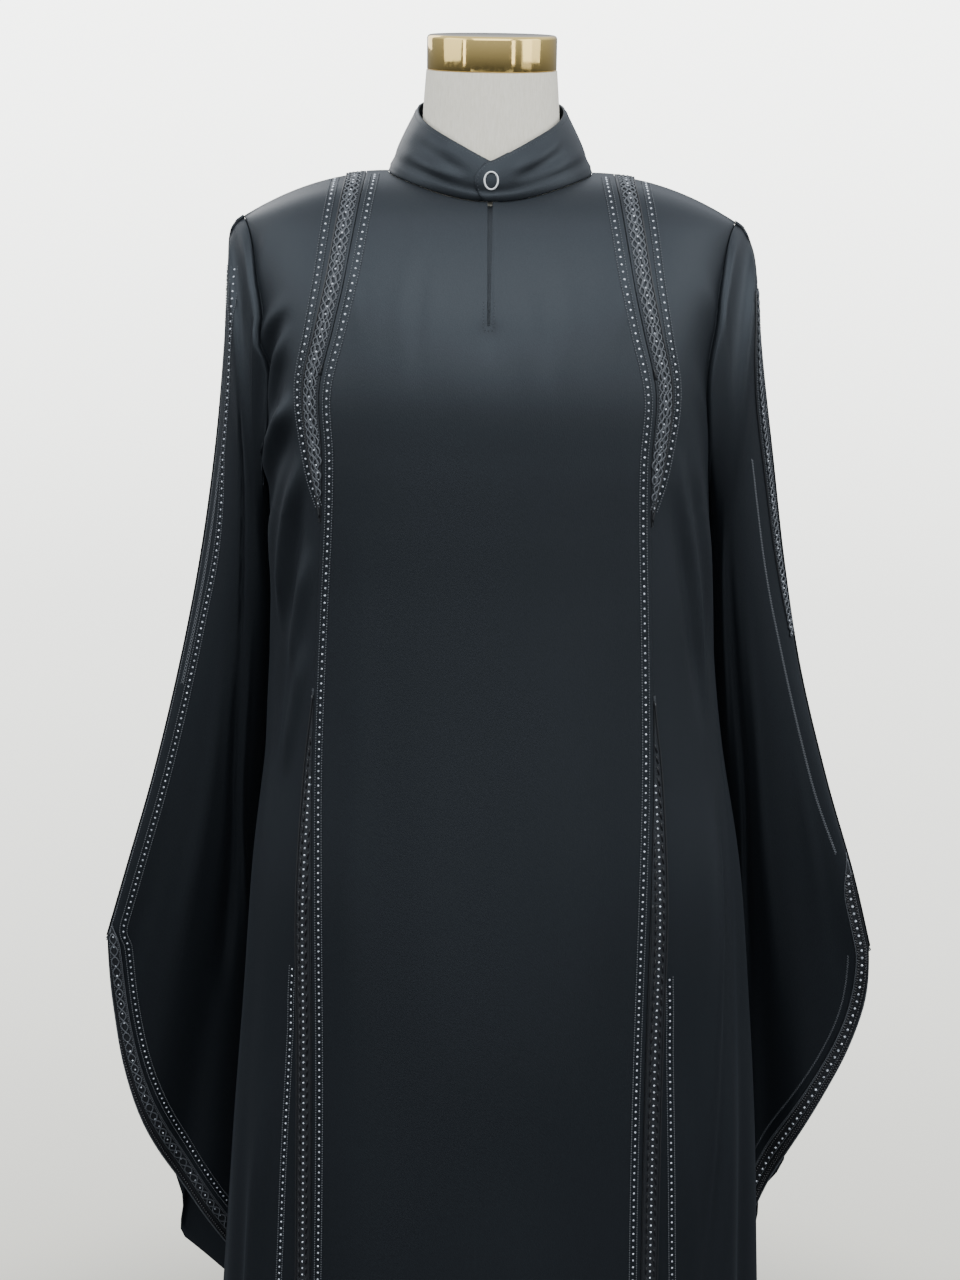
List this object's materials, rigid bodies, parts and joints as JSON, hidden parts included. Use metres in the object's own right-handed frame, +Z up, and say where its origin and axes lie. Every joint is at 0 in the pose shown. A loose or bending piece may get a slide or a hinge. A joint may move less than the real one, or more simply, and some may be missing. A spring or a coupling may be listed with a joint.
{
  "type": "abaya on dress form",
  "caption": "Full-length black abaya with a stand collar, lapped centre front panel, braid trims and wide petal sleeves, worn by a limbless dress form on a round stand.",
  "frame": {"origin": "centre of the underside of the stand's round base, on the floor", "axes": "+Z up; -Y towards the front of the garment; +X towards the right side of a viewer in front of it, which is the wearer's left"},
  "size_m": [0.7197, 0.443, 1.575],
  "materials": {
    "black_crepe": "matte satin-faced crepe",
    "black_braid": "black braid with beads, sequins and rhinestones",
    "linen": "off-white linen",
    "gold_cap": "polished gold",
    "ring_steel": "polished",
    "stand_metal": "satin black"
  },
  "bodies": {
    "root": {"form_torso": "linen", "neck_cap": "gold_cap", "stand_pole": "stand_metal", "stand_base": "stand_metal", "front_centre_panel": "black_crepe", "back_panel": "black_crepe", "collar": "black_crepe", "snap_ring": "ring_steel", "side_front_left": "black_crepe", "sleeve_front_left": "black_crepe", "sleeve_back_left": "black_crepe", "chest_braid_left": "black_braid", "skirt_braid_left": "black_braid", "cuff_braid_left": "black_braid", "overarm_braid_left": "black_braid", "side_front_right": "black_crepe", "sleeve_front_right": "black_crepe", "sleeve_back_right": "black_crepe", "chest_braid_right": "black_braid", "skirt_braid_right": "black_braid", "cuff_braid_right": "black_braid", "overarm_braid_right": "black_braid"}
  },
  "joints": []
}
